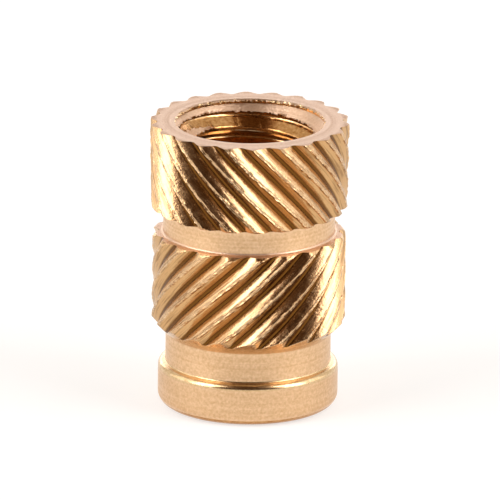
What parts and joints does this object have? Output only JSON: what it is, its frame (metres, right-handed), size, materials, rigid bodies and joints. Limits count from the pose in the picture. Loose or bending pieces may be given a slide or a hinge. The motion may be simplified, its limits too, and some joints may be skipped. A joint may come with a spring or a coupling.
{
  "type": "threaded insert",
  "caption": "Brass sleeve with two opposed helical knurl bands, a groove, a neck and a pilot collar, threaded inside, pressed hot into plastic to hold a screw.",
  "frame": {"origin": "centre of the pilot collar's lower face, on the bore's axis", "axes": "+Z along the bore, from the pilot collar up to the screw's mouth"},
  "size_m": [0.0086, 0.0086, 0.0127],
  "materials": {
    "brass": "turned and knurled bare brass"
  },
  "bodies": {
    "root": {"insert_body": "brass"}
  },
  "joints": []
}
